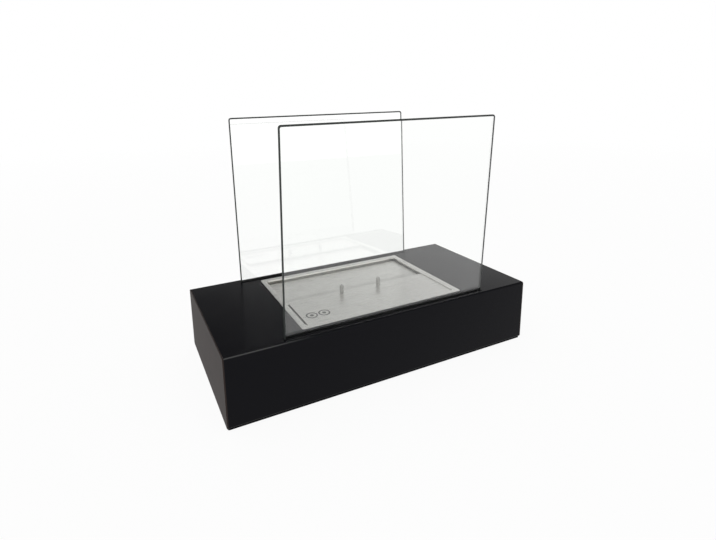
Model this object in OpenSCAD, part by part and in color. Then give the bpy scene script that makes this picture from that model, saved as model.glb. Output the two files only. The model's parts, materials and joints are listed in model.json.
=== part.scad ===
// Tabletop bioethanol fireplace.
// A long low casing of folded sheet steel carries a drop-in stainless burner and two
// glass panes that stand in lined channels along its front and rear edges.
// Millimetres, +Z up, front towards -Y, origin on the table under the casing's centre.

/* [Casing] */
// Width of the casing, left to right
casing_width = 400; // [340:5:480]
// Depth of the casing, front to rear
casing_depth = 190; // [186:1:240]
// Height of the casing, without its feet
casing_height = 80; // [72:1:120]
// Thickness of the casing's steel sheet
casing_sheet = 1.5; // [1:0.1:2.5]
// Inside radius of the casing's folds
bend_inside = 0.8; // [0.4:0.1:2]
// Width of the shell's flanges along the bottom of its front and rear walls
shell_flange = 14; // [11:1:20]
// Width of the flanges folded inwards from an end panel
end_flange = 12; // [10:1:24]
// Gap between an end panel's flanges and the shell around them
seam_gap = 0.2; // [0.1:0.1:0.5]

/* [Bottom plate and feet] */
// Thickness of the bottom plate
bottom_sheet = 1.5; // [1:0.1:2.5]
// How far the bottom plate's edge stays inside the casing's faces
bottom_reveal = 0.8; // [0.2:0.1:3]
// Corner radius of the bottom plate
bottom_corner = 2; // [0.5:0.5:8]
// Height of a rubber foot
foot_height = 3; // [2.5:0.5:10]
// Diameter of a rubber foot at the bottom plate
foot_diameter = 20; // [12:1:28]
// Radius of the rounded lower edge of a foot
foot_round = 1; // [0.4:0.1:2]
// Distance from the casing's faces to the centre of a foot
foot_inset = 25; // [20:1:36]

/* [Screws] */
// Diameter of the screws' shanks
screw_diameter = 3; // [2.5:0.1:4]
// Diameter of the screws' pan heads
screw_head = 5.6; // [5:0.1:7]
// Height of the screws' pan heads
screw_head_height = 1.8; // [1.2:0.1:2.3]
// How far a screw's end stands past what it holds
screw_reach = 3; // [1:0.5:6]
// Radial gap between a shank and its hole
screw_gap = 0.1; // [0.05:0.05:0.3]
// Number of screws along the front and along the rear of the bottom plate
screws_per_side = 4; // [2:1:6]
// Distance from the casing's ends to the outermost of those screws
screw_end_distance = 46; // [44:1:60]
// Distance between the two screws at each end of the bottom plate
end_screw_spacing = 80; // [40:2:90]

/* [Glass panes] */
// Width of a pane
pane_width = 266; // [200:2:320]
// Height of a pane above the casing, measured along the glass
pane_above = 222; // [120:2:300]
// Thickness of a pane
pane_thickness = 4; // [3:0.5:6]
// Radius of a pane's corners
pane_corner = 3; // [1:0.5:15]
// Chamfer ground along a pane's edges
pane_arris = 0.5; // [0.2:0.1:1]
// Outward lean of the panes, in degrees
pane_lean = 2.7; // [0:0.1:4]
// Distance from the casing's front face to the middle of the glass, at the casing's top
pane_inset = 9; // [8:0.5:10]
// Depth of glass that stands in the channel
pane_seat = 18; // [12:1:30]
// Gap between a pane and its liner
pane_gap = 0.2; // [0.1:0.05:0.4]

/* [Pane channels] */
// Thickness of the channels' steel sheet
channel_sheet = 1.2; // [0.8:0.1:1.6]
// Width of the channel's flange under the casing's top
channel_flange = 4; // [2:0.5:5]
// Thickness of the silicone liner
liner_thickness = 1; // [0.6:0.1:1.4]
// Gap between a liner and its channel
liner_gap = 0.1; // [0.05:0.05:0.3]
// How far a liner stands out of the casing's top
liner_proud = 0.6; // [0.2:0.1:2]

/* [Burner frame and box] */
// Width of the burner's frame
frame_width = 217; // [190:1:250]
// Distance from the panes' slots to the edge of the burner's frame
frame_to_slot = 6.7; // [3:0.1:12]
// Width of the frame's border
frame_border = 6.6; // [6.4:0.1:12]
// How far the border stays flat past the edge of the casing's cut-out
flat_margin = 0.4; // [0.2:0.1:1.5]
// How far the border falls from its outer edge to its inner edge
frame_fall = 2; // [1:0.1:4]
// Radius of the frame's outer corners
frame_corner = 2.5; // [1:0.5:5]
// Radius of the corners of the frame's opening
opening_corner = 4; // [2:0.5:10]
// Thickness of the burner's stainless sheet
burner_sheet = 1; // [0.8:0.1:1.5]
// How far the frame overlaps the casing's top
frame_overlap = 3; // [2:0.1:3.6]
// Gap between the burner's box and the edge of the casing's cut-out
burner_gap = 0.7; // [0.4:0.1:1]
// Depth of the burner's box below the casing's top
box_depth = 55; // [40:1:58]
// Outside radius of the box's upright corners
box_corner = 2; // [1.5:0.5:8]

/* [Burner deck] */
// Length of the flame slot
slot_length = 160; // [80:2:180]
// Width of the flame slot, front to rear
slot_width = 42; // [20:1:56]
// Corner radius of the flame slot
slot_corner = 4; // [1:0.5:10]
// Height of the deck's skirt
deck_skirt = 8; // [4:0.5:20]
// Gap between the deck's skirt and the box
deck_gap = 0.2; // [0.1:0.1:0.5]
// Depth of the grille's tray below the deck
tray_depth = 8; // [5:0.5:16]
// Thickness of the tray's sheet
tray_sheet = 0.8; // [0.5:0.1:1.2]
// How far the tray's walls stand outside the flame slot
tray_margin = 1; // [0.5:0.1:3]
// Width of the ledge that carries the grille's rods
tray_ledge = 4; // [2:0.5:8]
// Diameter of a grille rod
rod_diameter = 3; // [2:0.5:4]
// Distance between the middles of two rods
rod_spacing = 14; // [9:1:30]
// Gap between a rod's end and the tray's wall
rod_gap = 0.4; // [0.2:0.1:1]
// Free height between the ceramic fibre pad and the tray
pad_space = 0.6; // [0.4:0.2:12]
// Gap between the fibre pad and the box's walls
pad_gap = 0.5; // [0.3:0.1:2]

/* [Damper] */
// Depth of the sliding damper plate, front to rear
damper_depth = 67; // [61:0.5:69]
// Gap between the damper and the frame on its left and right
damper_side_gap = 1.4; // [0.8:0.1:2]
// Gap between the closed damper and the frame at the front
damper_end_gap = 0.6; // [0.4:0.1:1.5]
// How far the damper's top stands above the frame's inner edge
damper_proud = 0.2; // [0:0.1:0.6]
// Corner radius of the damper
damper_corner = 4; // [1:0.5:8]
// Thickness of the damper's sheet
damper_sheet = 1; // [0.8:0.1:1.2]
// Running gap above and below the damper's guide tabs
tab_gap = 0.3; // [0.2:0.1:0.5]
// Length of a guide tab
tab_length = 14; // [8:1:24]
// Gap between a guide tab's end and the box's wall
tab_end_gap = 0.4; // [0.3:0.1:0.8]
// Diameter of a damper pin
pin_diameter = 5; // [3:0.5:7]
// Height of a damper pin above the plate
pin_height = 11.5; // [6:0.5:25]
// Distance between the two pins
pin_spacing = 54; // [30:1:120]
// Distance from the damper's rear edge to the pins
pin_setback = 6.8; // [6:0.1:20]
// Diameter of a pin's shank in the plate
pin_shank = 2.6; // [2:0.1:2.9]
// Diameter of the washer under the plate
washer_diameter = 7; // [5:0.5:9]
// Thickness of that washer
washer_thickness = 0.5; // [0.3:0.1:0.6]
// Height of a pin's peened tail
tail_height = 0.5; // [0.3:0.1:0.6]
// Outer diameter of the round marks etched on the damper
mark_diameter = 14.2; // [10:0.2:20]
// Distance from the damper's left edge to the first mark's centre
mark_inset_x = 15; // [11:0.5:30]
// Distance from the damper's front edge to the marks' centres
mark_inset_y = 21.4; // [11:0.1:30]
// Distance between the marks' centres
mark_spacing = 15.8; // [15.6:0.1:30]
// Depth of the etching
mark_depth = 0.1; // [0.05:0.05:0.2]

/* [Heat shield] */
// Thickness of the shield's sheet
shield_sheet = 1; // [0.8:0.1:1.5]
// Gap between the shield's walls and the burner's box
shield_gap = 7; // [3:0.5:8]
// Inside radius of the shield's upright corners
shield_corner = 2; // [1:0.5:8]
// Height of the shield's walls
shield_wall = 20; // [8:1:30]
// Height of the spacers that carry the shield
spacer_height = 8; // [5:0.5:12]
// Diameter of a spacer
spacer_diameter = 8; // [6:0.5:12]
// Distance from the shield's walls to its bolts
bolt_inset = 12; // [8:0.5:30]
// Width across the flats of the shield's nuts
nut_flats = 5.5; // [4.8:0.1:7]
// Height of the shield's nuts
nut_height = 2.4; // [1.6:0.1:3.2]

/* [Hidden] */
$fn = 64;

// Cutters run this far past the faces they cut
past = 1;
// Thickness of the thin slabs that a hull spans
film = 0.01;
// Roundness of the corners inside a hull
hull_fn = 32;

black_paint = "#1d1d1f";
plain_steel = "#8d8f91";
stainless = "#bdbcb6";
rubber_black = "#151515";
clear_glass = "#cfe0dc";
fibre_white = "#e8e6e0";

// Levels of the casing
bottom_top = foot_height + bottom_sheet;
casing_top = foot_height + casing_height;
shell_height = casing_top - bottom_top;
shell_middle = (casing_top + bottom_top) / 2;
shell_length = casing_width - 2 * casing_sheet;
bend_outside = bend_inside + casing_sheet;
top_underside = casing_top - casing_sheet;

// Cross-section of a channel, in the frame of its pane
pane_y = casing_depth / 2 - pane_inset;
liner_half = pane_thickness / 2 + pane_gap + liner_thickness;
channel_half = liner_half + liner_gap;
liner_bottom = -pane_seat - pane_gap - liner_thickness;
channel_bottom = liner_bottom - liner_gap - channel_sheet;
liner_length = pane_width + 2 * pane_gap;
channel_inside = liner_length + 2 * liner_gap;
channel_length = channel_inside + 2 * channel_sheet;

// Plan sizes of the burner, from its frame inwards
frame_depth = 2 * (pane_y - channel_half - frame_to_slot);
cutout_width = frame_width - 2 * frame_overlap;
cutout_depth = frame_depth - 2 * frame_overlap;
cutout_corner = box_corner + burner_gap;
box_width = cutout_width - 2 * burner_gap;
box_length = cutout_depth - 2 * burner_gap;
box_inner_width = box_width - 2 * burner_sheet;
box_inner_length = box_length - 2 * burner_sheet;
box_inner_corner = inner_radius(box_corner, burner_sheet);
opening_width = frame_width - 2 * frame_border;
opening_depth = frame_depth - 2 * frame_border;

// Heights in the burner, counted from the casing's top
frame_flat = frame_overlap + flat_margin;
border_slope = frame_fall / (frame_border - frame_flat);
lip_top = burner_sheet - frame_fall;
lip_under = lip_top - burner_sheet;
tab_top = lip_under - tab_gap;
tab_bottom = tab_top - damper_sheet;
deck_top = tab_bottom - tab_gap;
deck_under = deck_top - burner_sheet;
box_outer_face = frame_overlap + burner_gap;
box_top = -border_slope * max(0, box_outer_face + burner_sheet - frame_flat);
box_floor = -box_depth + burner_sheet;
damper_top = lip_top + damper_proud;
damper_under = damper_top - damper_sheet;
tray_floor = deck_under - tray_depth;
tray_under = tray_floor - tray_sheet;
pad_top = tray_under - pad_space;

// Plan of the damper and of the flame slot that it covers
damper_width = opening_width - 2 * damper_side_gap;
damper_front = -opening_depth / 2 + damper_end_gap;
damper_rear = damper_front + damper_depth;
damper_middle = (damper_front + damper_rear) / 2;
tab_half = box_inner_width / 2 - tab_end_gap;
slot_middle = damper_middle;
tray_width = slot_length + 2 * tray_margin;
tray_length = slot_width + 2 * tray_margin;
rods_per_side = floor((tray_width / 2 - rod_diameter) / rod_spacing);
pin_y = damper_rear - pin_setback;

// Plan of the heat shield
shield_under = bottom_top + spacer_height;
shield_floor = shield_under + shield_sheet;
shield_inner_width = box_width + 2 * shield_gap;
shield_inner_length = box_length + 2 * shield_gap;
bolt_x = shield_inner_width / 2 - bolt_inset;
bolt_y = shield_inner_length / 2 - bolt_inset;

// Rows of screws in the bottom plate
screw_hole = screw_diameter + 2 * screw_gap;
screw_row_y = casing_depth / 2 - casing_sheet - shell_flange / 2;
screw_row_half = casing_width / 2 - screw_end_distance;
screw_step = 2 * screw_row_half / (screws_per_side - 1);
end_screw_x = casing_width / 2 - casing_sheet - end_flange / 2;
side_screws = [for (i = [0:screws_per_side - 1], s = [-1, 1])
    [-screw_row_half + i * screw_step, s * screw_row_y]];
end_screws = [for (s = [-1, 1], t = [-1, 1]) [s * end_screw_x, t * end_screw_spacing / 2]];
shield_places = [for (s = [-1, 1], t = [-1, 1]) [s * bolt_x, t * bolt_y]];
foot_places = [for (s = [-1, 1], t = [-1, 1])
    [s * (casing_width / 2 - foot_inset), t * (casing_depth / 2 - foot_inset)]];

// ---------- helpers ----------

// Radius inside a bend, given the radius outside it and the thickness between them
function inner_radius(outer, thickness) = max(outer - thickness, film);

// Rectangle centred on the origin, with round corners
module rounded_rect(w, d, r) {
    square([w - 2 * r, d], center = true);
    square([w, d - 2 * r], center = true);
    for (sx = [-1, 1], sy = [-1, 1])
        translate([sx * (w / 2 - r), sy * (d / 2 - r)])
            circle(r = r);
}

// Upright slab with a rounded outline, from height z0 up to height z1
module slab(w, d, r, z0, z1) {
    translate([0, 0, z0])
        linear_extrude(height = z1 - z0)
            rounded_rect(w, d, r);
}

// Outline in the YZ plane, extruded along X and centred
module along_x(length) {
    rotate([90, 0, 90])
        linear_extrude(height = length, center = true)
            children();
}

// Upright cylinder from height z0 up to height z1
module post(d, z0, z1) {
    translate([0, 0, z0])
        cylinder(d = d, h = z1 - z0);
}

// Copies of a shape at each place of a list
module at_places(places) {
    for (p = places)
        translate([p[0], p[1], 0])
            children();
}

// The frame of a pane: side is -1 for the front and 1 for the rear, and Z runs up the glass
module at_pane(side) {
    translate([0, side * pane_y, casing_top])
        rotate([-side * pane_lean, 0, 0])
            children();
}

// Heights that count from the casing's top
module at_top() {
    translate([0, 0, casing_top])
        children();
}

// ---------- casing ----------

// Cross-section of the folded shell: a rounded tube, open between its bottom flanges
module shell_section() {
    translate([0, shell_middle])
        difference() {
            rounded_rect(casing_depth, shell_height, bend_outside);
            rounded_rect(casing_depth - 2 * casing_sheet, shell_height - 2 * casing_sheet,
                bend_inside);
            translate([0, -shell_height / 2])
                square([casing_depth - 2 * casing_sheet - 2 * shell_flange,
                    2 * casing_sheet + past], center = true);
        }
}

// Slot in the casing's top for one lined pane
module pane_slot(side) {
    at_pane(side)
        cube([channel_inside, 2 * channel_half, 4 * casing_sheet + past], center = true);
}

module casing_shell() {
    color(black_paint)
        difference() {
            along_x(shell_length)
                shell_section();
            slab(cutout_width, cutout_depth, cutout_corner,
                casing_top - 2 * casing_sheet, casing_top + past);
            pane_slot(-1);
            pane_slot(1);
            at_places(side_screws)
                post(screw_hole, bottom_top - past, bottom_top + casing_sheet + past);
        }
}

// Flanges of an end panel: a ring just inside the shell, without its lower side
module end_ring() {
    inner_d = casing_depth - 2 * casing_sheet - 2 * seam_gap;
    inner_h = shell_height - 2 * casing_sheet - 2 * seam_gap;
    lower_edge = bottom_top + casing_sheet + seam_gap;
    translate([0, shell_middle])
        difference() {
            rounded_rect(inner_d, inner_h, bend_outside);
            rounded_rect(inner_d - 2 * casing_sheet, inner_h - 2 * casing_sheet, bend_inside);
            translate([0, lower_edge - shell_middle])
                square([inner_d + past, 4 * casing_sheet], center = true);
        }
}

// End panel whose outer face is at x = 0 and whose flanges reach towards -X
module end_panel() {
    tab_width = casing_depth - 2 * casing_sheet - 2 * shell_flange - 2 * seam_gap;
    difference() {
        union() {
            translate([-casing_sheet / 2, 0, 0])
                along_x(casing_sheet)
                    translate([0, shell_middle])
                        rounded_rect(casing_depth, shell_height, bend_outside);
            translate([-casing_sheet - end_flange / 2, 0, 0])
                along_x(end_flange)
                    end_ring();
            translate([-casing_sheet - end_flange, -tab_width / 2, bottom_top])
                cube([end_flange, tab_width, casing_sheet]);
        }
        at_places([for (t = [-1, 1]) [end_screw_x - casing_width / 2, t * end_screw_spacing / 2]])
            post(screw_hole, bottom_top - past, bottom_top + casing_sheet + past);
    }
}

module left_end_panel() {
    color(black_paint)
        mirror([1, 0, 0])
            translate([casing_width / 2, 0, 0])
                end_panel();
}

module right_end_panel() {
    color(black_paint)
        translate([casing_width / 2, 0, 0])
            end_panel();
}

module bottom_plate() {
    color(black_paint)
        difference() {
            slab(casing_width - 2 * bottom_reveal, casing_depth - 2 * bottom_reveal,
                bottom_corner, foot_height, bottom_top);
            at_places(concat(side_screws, end_screws, shield_places))
                post(screw_hole, foot_height - past, bottom_top + past);
        }
}

// Pan-head screw driven upwards, its head against the bottom plate
module pan_screw(top) {
    post(screw_head, foot_height - screw_head_height, foot_height);
    post(screw_diameter, foot_height - screw_head_height / 2, top);
}

module bottom_plate_screws() {
    color(plain_steel)
        at_places(concat(side_screws, end_screws))
            pan_screw(bottom_top + casing_sheet + screw_reach);
}

// Stick-on foot with a rounded lower edge
module rubber_foot() {
    foot_r = foot_diameter / 2;
    rotate_extrude()
        union() {
            square([foot_r - foot_round, foot_height]);
            translate([0, foot_round])
                square([foot_r, foot_height - foot_round]);
            translate([foot_r - foot_round, foot_round])
                intersection() {
                    circle(r = foot_round);
                    translate([0, -foot_round])
                        square(foot_round);
                }
        }
}

module rubber_feet() {
    color(rubber_black)
        at_places(foot_places)
            rubber_foot();
}

// ---------- pane channels ----------

// Cross-section of a channel with its flange, cut level with the underside of the casing's top
module channel_section(side, hollow) {
    outer_half = channel_half + channel_sheet;
    flange_reach = outer_half + channel_flange;
    difference() {
        union() {
            translate([side * pane_y, casing_top])
                rotate(-side * pane_lean)
                    translate([-outer_half, channel_bottom])
                        square([2 * outer_half, -channel_bottom]);
            translate([side * pane_y - (side + 1) / 2 * flange_reach,
                top_underside - channel_sheet])
                square([flange_reach, channel_sheet]);
        }
        if (hollow)
            translate([side * pane_y, casing_top])
                rotate(-side * pane_lean)
                    translate([-channel_half, liner_bottom - liner_gap])
                        square([2 * channel_half, past - liner_bottom + liner_gap]);
        translate([side * pane_y - 2 * flange_reach, top_underside])
            square([4 * flange_reach, 2 * casing_sheet]);
    }
}

// Folded channel under one slot, with closed ends and a flange on the burner's side
module pane_channel(side) {
    along_x(channel_inside)
        channel_section(side, true);
    for (s = [-1, 1])
        translate([s * (channel_inside + channel_sheet) / 2, 0, 0])
            along_x(channel_sheet)
                channel_section(side, false);
}

module front_channel() {
    color(plain_steel)
        pane_channel(-1);
}

module rear_channel() {
    color(plain_steel)
        pane_channel(1);
}

// U-shaped silicone liner between the glass and its channel
module pane_liner(side) {
    at_pane(side)
        difference() {
            translate([0, 0, (liner_bottom + liner_proud) / 2])
                cube([liner_length, 2 * liner_half, liner_proud - liner_bottom], center = true);
            translate([0, 0, (liner_proud + past - pane_seat - pane_gap) / 2])
                cube([liner_length + past, pane_thickness + 2 * pane_gap,
                    liner_proud + past + pane_seat + pane_gap], center = true);
        }
}

module front_liner() {
    color(rubber_black)
        pane_liner(-1);
}

module rear_liner() {
    color(rubber_black)
        pane_liner(1);
}

// Pane of toughened glass with ground edges and rounded corners
module glass_pane(side) {
    pane_height = pane_above + pane_seat;
    at_pane(side)
        translate([0, 0, (pane_above - pane_seat) / 2])
            rotate([90, 0, 0])
                union() {
                    linear_extrude(height = pane_thickness - 2 * pane_arris, center = true)
                        rounded_rect(pane_width, pane_height, pane_corner);
                    linear_extrude(height = pane_thickness, center = true)
                        rounded_rect(pane_width - 2 * pane_arris, pane_height - 2 * pane_arris,
                            pane_corner - pane_arris);
                }
}

module front_pane() {
    color(clear_glass, 0.35)
        glass_pane(-1);
}

module rear_pane() {
    color(clear_glass, 0.35)
        glass_pane(1);
}

// ---------- heat shield ----------

module heat_shield() {
    color(plain_steel)
        difference() {
            slab(shield_inner_width + 2 * shield_sheet, shield_inner_length + 2 * shield_sheet,
                shield_corner + shield_sheet, shield_under, shield_under + shield_wall);
            slab(shield_inner_width, shield_inner_length, shield_corner,
                shield_floor, shield_under + shield_wall + past);
            at_places(shield_places)
                post(screw_hole, shield_under - past, shield_floor + past);
        }
}

module shield_spacers() {
    color(plain_steel)
        at_places(shield_places)
            difference() {
                post(spacer_diameter, bottom_top, shield_under);
                post(screw_hole, bottom_top - past, shield_under + past);
            }
}

module shield_bolts() {
    color(plain_steel)
        at_places(shield_places)
            pan_screw(shield_floor + nut_height + screw_gap);
}

module shield_nuts() {
    color(plain_steel)
        at_places(shield_places)
            difference() {
                translate([0, 0, shield_floor])
                    cylinder(d = nut_flats / cos(30), h = nut_height, $fn = 6);
                post(screw_hole, shield_floor - past, shield_floor + nut_height + past);
            }
}

// ---------- burner ----------

// Folded box that holds the fuel pad and hangs in the casing's cut-out
module burner_box() {
    color(stainless)
        at_top()
            difference() {
                slab(box_width, box_length, box_corner, -box_depth, box_top);
                slab(box_inner_width, box_inner_length, box_inner_corner, box_floor, past);
            }
}

// Bowl-shaped space inside the border, its rim at height z0
module border_bowl(z0) {
    bowl_width = frame_width - 2 * frame_flat;
    bowl_depth = frame_depth - 2 * frame_flat;
    bowl_corner = opening_corner + frame_border - frame_flat;
    hull() {
        translate([0, 0, z0])
            linear_extrude(height = film)
                rounded_rect(bowl_width, bowl_depth, bowl_corner, $fn = hull_fn);
        translate([0, 0, z0 - frame_fall])
            linear_extrude(height = film)
                rounded_rect(opening_width, opening_depth, opening_corner, $fn = hull_fn);
    }
}

// Border that lies on the casing's top and falls inwards to a lip
module burner_frame() {
    color(stainless)
        at_top()
            difference() {
                union() {
                    slab(frame_width, frame_depth, frame_corner, 0, burner_sheet);
                    border_bowl(0);
                }
                border_bowl(burner_sheet);
                slab(opening_width, opening_depth, opening_corner, -frame_fall - past,
                    burner_sheet + past, $fn = hull_fn);
            }
}

// Recessed deck with a skirt down its edge and the flame slot in its front half
module burner_deck() {
    deck_width = box_inner_width - 2 * deck_gap;
    deck_length = box_inner_length - 2 * deck_gap;
    deck_corner = inner_radius(box_inner_corner, deck_gap);
    color(stainless)
        at_top()
            difference() {
                slab(deck_width, deck_length, deck_corner, deck_top - deck_skirt, deck_top);
                slab(deck_width - 2 * burner_sheet, deck_length - 2 * burner_sheet,
                    inner_radius(deck_corner, burner_sheet), deck_top - deck_skirt - past,
                    deck_under);
                translate([0, slot_middle, 0])
                    slab(slot_length, slot_width, slot_corner, deck_under - past,
                        deck_top + past);
            }
}

// Tray that hangs under the flame slot, with a ledge around its open bottom
module grille_tray() {
    tray_corner = slot_corner + tray_margin;
    color(stainless)
        at_top()
            translate([0, slot_middle, 0])
                difference() {
                    slab(tray_width + 2 * tray_sheet, tray_length + 2 * tray_sheet,
                        tray_corner + tray_sheet, tray_under, deck_under);
                    slab(tray_width, tray_length, tray_corner, tray_floor, deck_under + past);
                    slab(tray_width - 2 * tray_ledge, tray_length - 2 * tray_ledge,
                        inner_radius(tray_corner, tray_ledge), tray_under - past,
                        tray_floor + past);
                }
}

// Rods that lie across the tray's ledge
module grille_rods() {
    color(stainless)
        for (i = [-rods_per_side:rods_per_side])
            translate([i * rod_spacing, slot_middle, casing_top + tray_floor + rod_diameter / 2])
                rotate([90, 0, 0])
                    cylinder(d = rod_diameter, h = tray_length - 2 * rod_gap, center = true);
}

// Ceramic fibre pad that soaks up the fuel
module ceramic_fibre_pad() {
    color(fibre_white)
        at_top()
            slab(box_inner_width - 2 * pad_gap, box_inner_length - 2 * pad_gap,
                box_inner_corner, box_floor, pad_top);
}

// ---------- damper ----------

// A ring and a dot, as a plain round mark
module etched_mark(d) {
    line = d / 11;
    difference() {
        circle(d = d);
        circle(d = d - 2 * line);
    }
    circle(d = d / 4);
}

// Guide tabs that run between the deck and the frame's lip
module guide_tabs() {
    tab_root = damper_width / 2 - damper_sheet / 2;
    tab_y = damper_depth / 2 - damper_corner - tab_length / 2;
    for (sx = [-1, 1], sy = [-1, 1])
        translate([sx * (tab_half + tab_root) / 2, damper_middle + sy * tab_y,
            (tab_top + tab_bottom) / 2])
            cube([tab_half - tab_root, tab_length, damper_sheet], center = true);
}

// Lid-shaped plate that covers the flame slot and slides to the rear
module damper_plate() {
    mark_x = -damper_width / 2 + mark_inset_x;
    color(stainless)
        at_top()
            difference() {
                union() {
                    translate([0, damper_middle, 0])
                        difference() {
                            slab(damper_width, damper_depth, damper_corner, tab_bottom,
                                damper_top);
                            slab(damper_width - 2 * damper_sheet,
                                damper_depth - 2 * damper_sheet,
                                inner_radius(damper_corner, damper_sheet),
                                tab_bottom - past, damper_under);
                        }
                    guide_tabs();
                }
                for (i = [0, 1])
                    translate([mark_x + i * mark_spacing, damper_front + mark_inset_y,
                        damper_top - mark_depth])
                        linear_extrude(height = past)
                            etched_mark(mark_diameter);
                for (s = [-1, 1])
                    translate([s * pin_spacing / 2, pin_y, 0])
                        post(pin_shank + 2 * screw_gap, tab_bottom, damper_top + past);
            }
}

// Round pin with a domed top, its shank peened over a washer under the plate
module damper_pin() {
    dome = pin_diameter / 4;
    tail_top = damper_under - washer_thickness;
    at_top() {
        post(pin_diameter, damper_top, damper_top + pin_height - dome);
        translate([0, 0, damper_top + pin_height - dome])
            cylinder(d1 = pin_diameter, d2 = pin_diameter - 2 * dome, h = dome);
        post(pin_shank, tail_top - tail_height / 2, damper_top + past);
        post((pin_shank + washer_diameter) / 2, tail_top - tail_height, tail_top);
    }
}

module left_damper_pin() {
    color(stainless)
        translate([-pin_spacing / 2, pin_y, 0])
            damper_pin();
}

module right_damper_pin() {
    color(stainless)
        translate([pin_spacing / 2, pin_y, 0])
            damper_pin();
}

module pin_washers() {
    color(plain_steel)
        for (s = [-1, 1])
            translate([s * pin_spacing / 2, pin_y, casing_top])
                difference() {
                    post(washer_diameter, damper_under - washer_thickness, damper_under);
                    post(pin_shank + 2 * screw_gap, damper_under - washer_thickness - past,
                        damper_under + past);
                }
}

// ---------- drawing ----------

casing_shell();
left_end_panel();
right_end_panel();
bottom_plate();
bottom_plate_screws();
rubber_feet();
front_channel();
rear_channel();
front_liner();
rear_liner();
front_pane();
rear_pane();
heat_shield();
shield_spacers();
shield_bolts();
shield_nuts();
burner_box();
burner_frame();
burner_deck();
grille_tray();
grille_rods();
ceramic_fibre_pad();
damper_plate();
left_damper_pin();
right_damper_pin();
pin_washers();
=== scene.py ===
# %% [markdown]
# # A tabletop bioethanol fireplace
# The object is a low black steel casing with a stainless burner let into its top and two
# clear glass panes that stand along its long edges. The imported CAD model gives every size
# and place. This file dresses it: first the camera and the light, then one finish after
# another, then the pieces whose edges and curves show more than the plain solids have.

# %% Load the frame
import json
import math
import random

import bmesh
import bpy
from mathutils import Matrix, Vector


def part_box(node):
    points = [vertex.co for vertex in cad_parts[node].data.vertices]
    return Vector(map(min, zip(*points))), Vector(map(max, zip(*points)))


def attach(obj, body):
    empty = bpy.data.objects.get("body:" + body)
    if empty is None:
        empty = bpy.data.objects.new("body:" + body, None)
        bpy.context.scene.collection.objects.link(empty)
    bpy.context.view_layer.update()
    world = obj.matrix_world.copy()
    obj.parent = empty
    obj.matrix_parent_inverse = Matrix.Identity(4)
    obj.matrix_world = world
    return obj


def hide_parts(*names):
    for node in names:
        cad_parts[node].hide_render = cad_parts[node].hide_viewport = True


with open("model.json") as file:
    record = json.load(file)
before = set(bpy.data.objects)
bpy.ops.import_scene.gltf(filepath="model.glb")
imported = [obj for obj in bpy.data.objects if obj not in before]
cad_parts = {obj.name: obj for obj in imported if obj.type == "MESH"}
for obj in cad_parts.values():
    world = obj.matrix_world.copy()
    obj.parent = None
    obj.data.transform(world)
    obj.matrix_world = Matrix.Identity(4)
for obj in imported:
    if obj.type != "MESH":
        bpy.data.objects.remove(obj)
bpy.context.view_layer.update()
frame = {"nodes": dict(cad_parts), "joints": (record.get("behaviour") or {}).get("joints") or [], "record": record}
nodes = frame["nodes"]
MM = 0.001

# %% [markdown]
# ## Colour
# Colours are written the way a paint card or a browser gives them, as sRGB hex. Shaders
# calculate in linear light, so one function does the conversion for every colour below.


# %% One function for colour
def linear(hex_colour):
    """sRGB hex, such as '#8a8a8a', as linear RGBA."""
    channels = [int(hex_colour[i:i + 2], 16) / 255 for i in (1, 3, 5)]
    return tuple(c / 12.92 if c <= 0.04045 else ((c + 0.055) / 1.055) ** 2.4 for c in channels) + (1.0,)


print("mid grey in linear light:", [round(c, 3) for c in linear("#808080")[:3]])

# %% [markdown]
# ## Building node trees
# A finish is a small network of nodes. Writing each node and each wire out by hand hides
# the idea, so one helper makes a node, sets what is fixed on it and wires what feeds it.


# %% One function for nodes
def add(tree, kind, inputs=None, **settings):
    """Adds a node. Inputs are numbers, colours or other nodes' output sockets, by name or index."""
    node = tree.nodes.new(kind)
    for name, value in settings.items():
        setattr(node, name, value)
    for key, value in (inputs or {}).items():
        socket = node.inputs[key]
        if isinstance(value, bpy.types.NodeSocket):
            tree.links.new(value, socket)
        else:
            socket.default_value = value
    return node


def new_finish(name):
    """An empty material with its output node."""
    material = bpy.data.materials.new(name)
    material.use_nodes = True
    material.node_tree.nodes.clear()
    return material, material.node_tree, material.node_tree.nodes.new("ShaderNodeOutputMaterial")


print("helpers ready")

# %% [markdown]
# ## Camera
# The camera stands a little to the left of the object and above it, at about the height of
# a seated person's eyes. The picture is cut from a wider one, so its centre of view lies
# above and left of the middle of the frame. Blender's lens shift does exactly that.

# %% Place the camera
IMAGE_WIDTH, IMAGE_HEIGHT = 716, 540
FOCAL_PIXELS = 465.62
VIEW_CENTRE = (330.0, 195.0)
CAMERA_PLACE = Vector((-0.27600, -0.50968, 0.33061))
YAW, PITCH, ROLL = math.radians(25.2484), math.radians(12.0937), math.radians(-1.2918)

forward = Vector((math.sin(YAW) * math.cos(PITCH), math.cos(YAW) * math.cos(PITCH), -math.sin(PITCH)))
level_right = Vector((math.cos(YAW), -math.sin(YAW), 0.0))
level_up = level_right.cross(forward)
camera_x = level_right * math.cos(ROLL) + level_up * math.sin(ROLL)
camera_y = level_up * math.cos(ROLL) - level_right * math.sin(ROLL)

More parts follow.
